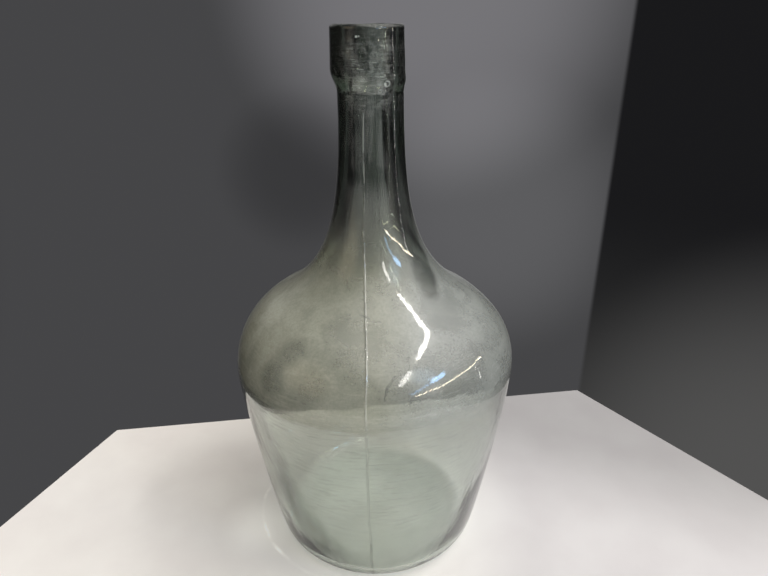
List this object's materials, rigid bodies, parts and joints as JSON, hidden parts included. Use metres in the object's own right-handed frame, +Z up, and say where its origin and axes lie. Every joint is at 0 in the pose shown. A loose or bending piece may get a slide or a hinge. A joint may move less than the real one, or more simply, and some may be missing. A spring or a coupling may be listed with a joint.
{
  "type": "carboy",
  "caption": "Glass carboy of the demijohn form: a mould-blown body with tapered wall, round shoulder and long neck, and a hot-applied collar round an open mouth.",
  "frame": {"origin": "on the carboy's axis, in the plane it stands on", "axes": "+Z up the axis to the mouth, -Y towards the front mould seam, +X to the right seen from the front"},
  "size_m": [0.25, 0.251, 0.468],
  "materials": {
    "body_glass": "clear grey-green glass, uneven and slightly wavy, with a thin dry haze on the shoulder",
    "collar_glass": "thick dark green fire-polished glass with tool marks and small bubbles"
  },
  "bodies": {
    "root": {"blown_body": "body_glass", "applied_collar": "collar_glass"}
  },
  "joints": []
}
